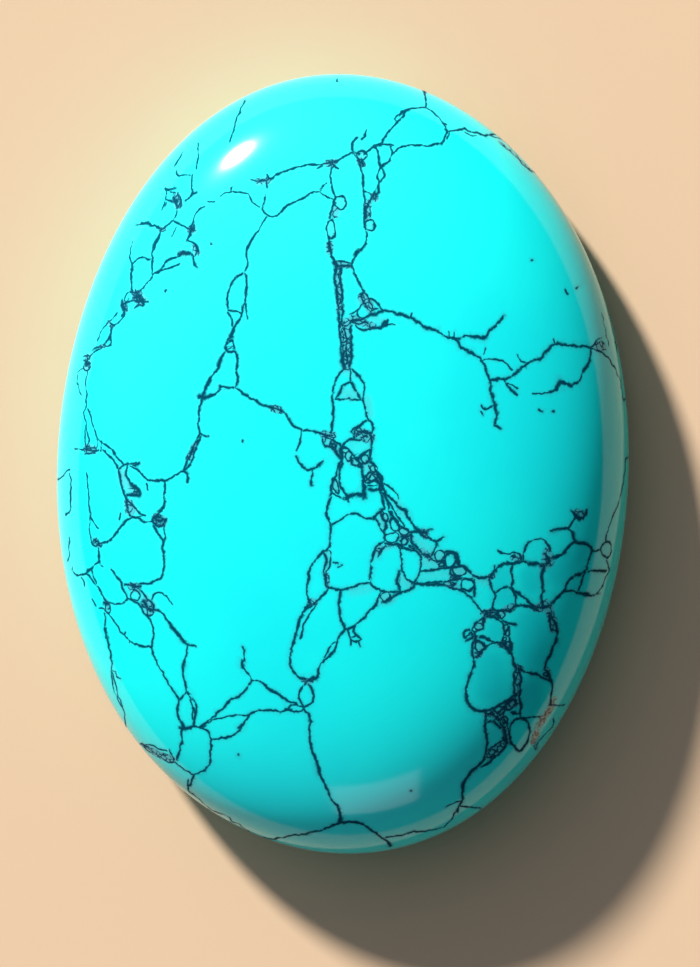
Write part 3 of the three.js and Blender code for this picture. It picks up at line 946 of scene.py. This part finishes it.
class Socket:
    """A shader node's output for sums: + - * / add Math nodes, and node() adds any other node."""

    def __init__(self, tree, out):
        self.tree = tree
        self.out = out

    def node(self, kind, settings=(), values=(), out=0):
        """A new node with its settings set, its sockets given values or links, and one of its outputs."""
        made = self.tree.nodes.new(kind)
        for key, value in dict(settings).items():
            setattr(made, key, value)
        for key, value in dict(values).items():
            if isinstance(value, Socket):
                self.tree.links.new(value.out, made.inputs[key])
            else:
                made.inputs[key].default_value = value
        return Socket(self.tree, made.outputs[out])

    def maths(self, operation, first, second=0.0):
        """One Math node on two numbers or sockets."""
        return self.node("ShaderNodeMath", {"operation": operation}, {0: first, 1: second})

    def __add__(self, other):
        return self.maths("ADD", self, other)

    def __radd__(self, other):
        return self.maths("ADD", other, self)

    def __sub__(self, other):
        return self.maths("SUBTRACT", self, other)

    def __rsub__(self, other):
        return self.maths("SUBTRACT", other, self)

    def __mul__(self, other):
        return self.maths("MULTIPLY", self, other)

    def __rmul__(self, other):
        return self.maths("MULTIPLY", other, self)

    def __truediv__(self, other):
        return self.maths("DIVIDE", self, other)

    def smooth(self, low, high):
        """0 up to the low value, 1 from the high one, and a smooth step between."""
        return self.node("ShaderNodeMapRange", {"interpolation_type": "SMOOTHSTEP"},
                         {"Value": self, "From Min": low, "From Max": high})

    def mix(self, first, second):
        """The first colour where this is 0, the second where it is 1."""
        return self.node("ShaderNodeMix", {"data_type": "RGBA"}, {0: self, 6: first, 7: second}, 2)


finish = bpy.data.materials.new("turquoise")
finish.use_nodes = True
tree = finish.node_tree
shader = tree.nodes["Principled BSDF"]
start = Socket(tree, None)
place = start.node("ShaderNodeTexCoord", out="Object")


def noise(scale, detail, out="Fac"):
    """Noise in the stone's own coordinates."""
    values = {"Vector": place, "Scale": scale, "Detail": detail}
    return start.node("ShaderNodeTexNoise", values=values, out=out)


def vector(operation, first, second, socket=1, out=0):
    """One Vector Math node on two vectors, or on a vector and a number for its named socket."""
    return start.node("ShaderNodeVectorMath", {"operation": operation}, {0: first, socket: second}, out)


def length(first):
    """Length of a vector."""
    return vector("LENGTH", first, (0, 0, 0), out="Value")


def shake(scale, size):
    """A random vector about nothing: the noise's colour less one half, times the size."""
    centred = vector("SUBTRACT", noise(scale, detail=2.0, out="Color"), (0.5, 0.5, 0.5))
    return vector("SCALE", centred, size, "Scale")


def read(name, out="Fac"):
    """A value painted at the vertices."""
    return start.node("ShaderNodeAttribute", {"attribute_name": name}, out=out)


# Lines of the seams: they wander a little at two sizes, and their width beads and frays along the way.
LEAST_WIDTH = 0.62
SWELLING = 0.5
KNOTTING = 0.5
FRAYING = 1.2
FAR_SLACK = 0.7
FARTHEST = 9.0
CELL_WALL = 1.2
CELL_WANDER = 3.6
wander = shake(scale=2600.0, size=1.6)
ragged = shake(scale=6500.0, size=1.3)
wobble = vector("ADD", wander, ragged)
swell = noise(scale=1700.0, detail=3.0).smooth(low=0.3, high=0.7)
knots = noise(scale=650.0, detail=2.0).smooth(low=0.56, high=0.7)
fray = noise(scale=5200.0, detail=2.0) - 0.5
beads = LEAST_WIDTH + SWELLING * swell + KNOTTING * knots + FRAYING * fray
nearest = FARTHEST
for layer in range(LAYERS):
    distance = length(vector("ADD", read(f"seam_step_{layer}", "Vector"), wobble))
    distance = start.maths("MAXIMUM", distance, read(f"seam_far_{layer}") - FAR_SLACK)
    nearest = start.maths("MINIMUM", nearest, distance)
uneven = vector("SCALE", wander, CELL_WANDER, "Scale")
for layer in range(CELL_LAYERS):
    local = read(f"cell_{layer}", "Vector")
    ring = start.node("ShaderNodeSeparateXYZ", values={0: local}, out="Z")
    flat = vector("ADD", vector("MULTIPLY", local, (1, 1, 0)), uneven)
    distance = start.maths("ABSOLUTE", length(flat) - ring)
    nearest = start.maths("MINIMUM", nearest, distance / CELL_WALL)
nearest = nearest / beads
cover = 1 - nearest.smooth(low=0.4, high=1.6)
stain = 1 - nearest.smooth(low=0.8, high=4.0)

# Crackle: fine cracks that fill the bands where the matrix is dense.
CRACK_SCALE = 3000.0
CRACK_BEND = 0.12 * MM
BAND_FRAY = 0.8
bent = vector("ADD", place, vector("SCALE", wobble, CRACK_BEND, "Scale"))
to_crack = start.node("ShaderNodeTexVoronoi", {"feature": "DISTANCE_TO_EDGE"},
                      {"Vector": bent, "Scale": CRACK_SCALE})
cracks = 1 - to_crack.smooth(low=0.03, high=0.15)
dense = read("dense") + BAND_FRAY * (noise(scale=3000.0, detail=2.0) - 0.5)
dense = dense.smooth(low=0.3, high=0.8)
cover = start.maths("MAXIMUM", cover, cracks * dense)

# Colours: sky blue, greener in clouds, stained beside the seams, greyer in patches, deeper and darker in
# the lower right cells as their own tone and painted shade, and grainy host rock at the rim.
STAIN_SHARE = 0.4
DEEP_SHADED_SHARE = 0.4
CRACKLE_SHARE = 0.65
SEAM_SHARE = 0.97
LEAST_GREY = 0.75
GREY_MOTTLE = 0.5
ROCK_PATCHES = 2.4
ROCK_GAPS = 0.2
cloud = noise(scale=110.0, detail=4.0).smooth(low=0.35, high=0.65)
body = cloud.mix(SKY_BLUE, GREENER_BLUE)
body = (stain * STAIN_SHARE).mix(body, STAINED_BLUE)
# Painted shade: the lower right cells are darkened toward the deep blue.
body = (read("deep_shaded") * DEEP_SHADED_SHARE).mix(body, DEEP_SHADED_BLUE)
mottle = LEAST_GREY + GREY_MOTTLE * noise(scale=2500.0, detail=2.0)
body = (read("grey") * mottle).mix(body, GREYED_BLUE)
body = (dense * CRACKLE_SHARE).mix(body, CRACKLED_BLUE)
patchy = ROCK_PATCHES * noise(scale=2200.0, detail=4.0) - ROCK_GAPS
rock = (read("host_rock") * patchy).smooth(low=0.2, high=0.8)
grain = noise(scale=7500.0, detail=3.0).smooth(low=0.38, high=0.64).mix(DARK_GRAIN, PALE_GRAIN)
body = rock.mix(body, grain)
tree.links.new(body.out, shader.inputs["Base Color"])
shader.inputs["Roughness"].default_value = POLISH_ROUGHNESS
shader.inputs["IOR"].default_value = STONE_IOR
seam_skin = start.node("ShaderNodeBsdfPrincipled", values={
    "Base Color": SEAM_NAVY, "Roughness": SEAM_ROUGHNESS, "Specular IOR Level": 0.0})
skin = start.node("ShaderNodeMixShader", values={
    0: cover * SEAM_SHARE, 1: Socket(tree, shader.outputs["BSDF"]), 2: seam_skin})
tree.links.new(skin.out, tree.nodes["Material Output"].inputs["Surface"])
stone_mesh.materials.append(finish)
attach(stone, "root")
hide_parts("turquoise_stone")

# Floor: a plain pale studio sheet, matt and a little warm in colour. The stone rests on it by its back,
# and it is only staging.
FLOOR_REACH = 1.0
FLOOR_COLOUR = (0.585, 0.405, 0.258, 1)
FLOOR_ROUGHNESS = 0.9
floor_corners = [(FLOOR_REACH * x, FLOOR_REACH * y, 0) for x, y in ((-1, -1), (1, -1), (1, 1), (-1, 1))]
floor_mesh = bpy.data.meshes.new("floor")
floor_mesh.from_pydata(floor_corners, [], [(0, 1, 2, 3)])
floor = bpy.data.objects.new("floor", floor_mesh)
bpy.context.scene.collection.objects.link(floor)
floor_finish = bpy.data.materials.new("floor")
floor_finish.use_nodes = True
floor_shader = floor_finish.node_tree.nodes["Principled BSDF"]
floor_shader.inputs["Base Color"].default_value = FLOOR_COLOUR
floor_shader.inputs["Roughness"].default_value = FLOOR_ROUGHNESS
floor_mesh.materials.append(floor_finish)

# Key light: a round lamp far off at the upper left, at the height that the shadow shows. It gives the
# shadow, soft at its edge, and the highlight on the dome.
KEY_AZIMUTH = math.radians(125.0)
KEY_ELEVATION = math.radians(27.8)
KEY_DISTANCE = 3.0
KEY_SIZE = 0.31
KEY_ENERGY = 233.0
KEY_COLOUR = (1.0, 0.985, 0.95)


def hang_lamp(light, azimuth, elevation, distance):
    """A lamp at a distance from the stone's middle, at a compass turn and a height angle, facing it."""
    lamp = bpy.data.objects.new(light.name, light)
    flat = distance * math.cos(elevation)
    lamp.location = (flat * math.cos(azimuth), flat * math.sin(azimuth), distance * math.sin(elevation))
    lamp.rotation_euler = (math.pi / 2 - elevation, 0, azimuth + math.pi / 2)
    bpy.context.scene.collection.objects.link(lamp)
    return lamp


key_light = bpy.data.lights.new("key", "AREA")
key_light.shape = "DISK"
key_light.size = KEY_SIZE
key_light.energy = KEY_ENERGY
key_light.color = KEY_COLOUR
key = hang_lamp(key_light, KEY_AZIMUTH, KEY_ELEVATION, KEY_DISTANCE)

# Card: a pale lit sheet in front of the stone, out of the camera's view. The dome reflects it as the soft
# patch near its lower rim.
CARD_AZIMUTH = math.radians(-82.0)
CARD_ELEVATION = math.radians(32.0)
CARD_DISTANCE = 1.0
CARD_WIDTH = 0.36
CARD_HEIGHT = 0.3
CARD_ENERGY = 0.42
CARD_COLOUR = (1.0, 0.95, 1.0)
card_light = bpy.data.lights.new("card", "AREA")
card_light.shape = "RECTANGLE"
card_light.size = CARD_WIDTH
card_light.size_y = CARD_HEIGHT
card_light.energy = CARD_ENERGY
card_light.color = CARD_COLOUR
hang_lamp(card_light, CARD_AZIMUTH, CARD_ELEVATION, CARD_DISTANCE)

# Sky: the soft fill of the room, dim all round, brighter toward the key, with a low glow in front of the
# stone that its lower rim reflects.
DIM_SKY = (0.009, 0.018, 0.032, 1)
KEY_SKY = (0.68, 0.70, 0.84, 1)
LOW_GLOW = (0.15, 0.30, 0.34, 1)
LOW_GLOW_TOWARD = (-0.15, -0.95, 0.27)
world = bpy.data.worlds.new("sky")
world.use_nodes = True
sky = Socket(world.node_tree, None)


def facing(toward):
    """Cosine of the angle between each direction of the sky and the given one."""
    direction = sky.node("ShaderNodeTexCoord", out="Generated")
    values = {0: direction, 1: toward}
    return sky.node("ShaderNodeVectorMath", {"operation": "DOT_PRODUCT"}, values, "Value")


toward_key = tuple(coordinate / KEY_DISTANCE for coordinate in key.location)
near_key = facing(toward_key).smooth(low=-0.35, high=1.0)
near_key = near_key * near_key
glow = (near_key * near_key).mix(DIM_SKY, KEY_SKY)
glow = facing(LOW_GLOW_TOWARD).smooth(low=0.45, high=1.0).mix(glow, LOW_GLOW)
world.node_tree.links.new(glow.out, world.node_tree.nodes["Background"].inputs["Color"])
bpy.context.scene.world = world
bpy.context.scene.view_settings.view_transform = "Standard"

# Camera: a long lens almost straight above, leaning a few degrees to the top and right of the stone, at the
# place that the lines of sight start from.
SENSOR_HEIGHT = 36.0
NEAREST_SEEN = 0.01
camera_data = bpy.data.cameras.new("camera")
camera_data.sensor_fit = "VERTICAL"
camera_data.sensor_height = SENSOR_HEIGHT
camera_data.lens = FOCAL_PIXELS / PHOTO_HEIGHT * SENSOR_HEIGHT
camera_data.clip_start = NEAREST_SEEN
camera = bpy.data.objects.new("camera", camera_data)
camera_rows = [[view_right[i], view_up[i], back_off[i], eye[i]] for i in range(3)]
camera.matrix_world = Matrix([*camera_rows, [0, 0, 0, 1]])
bpy.context.scene.collection.objects.link(camera)
bpy.context.scene.camera = camera
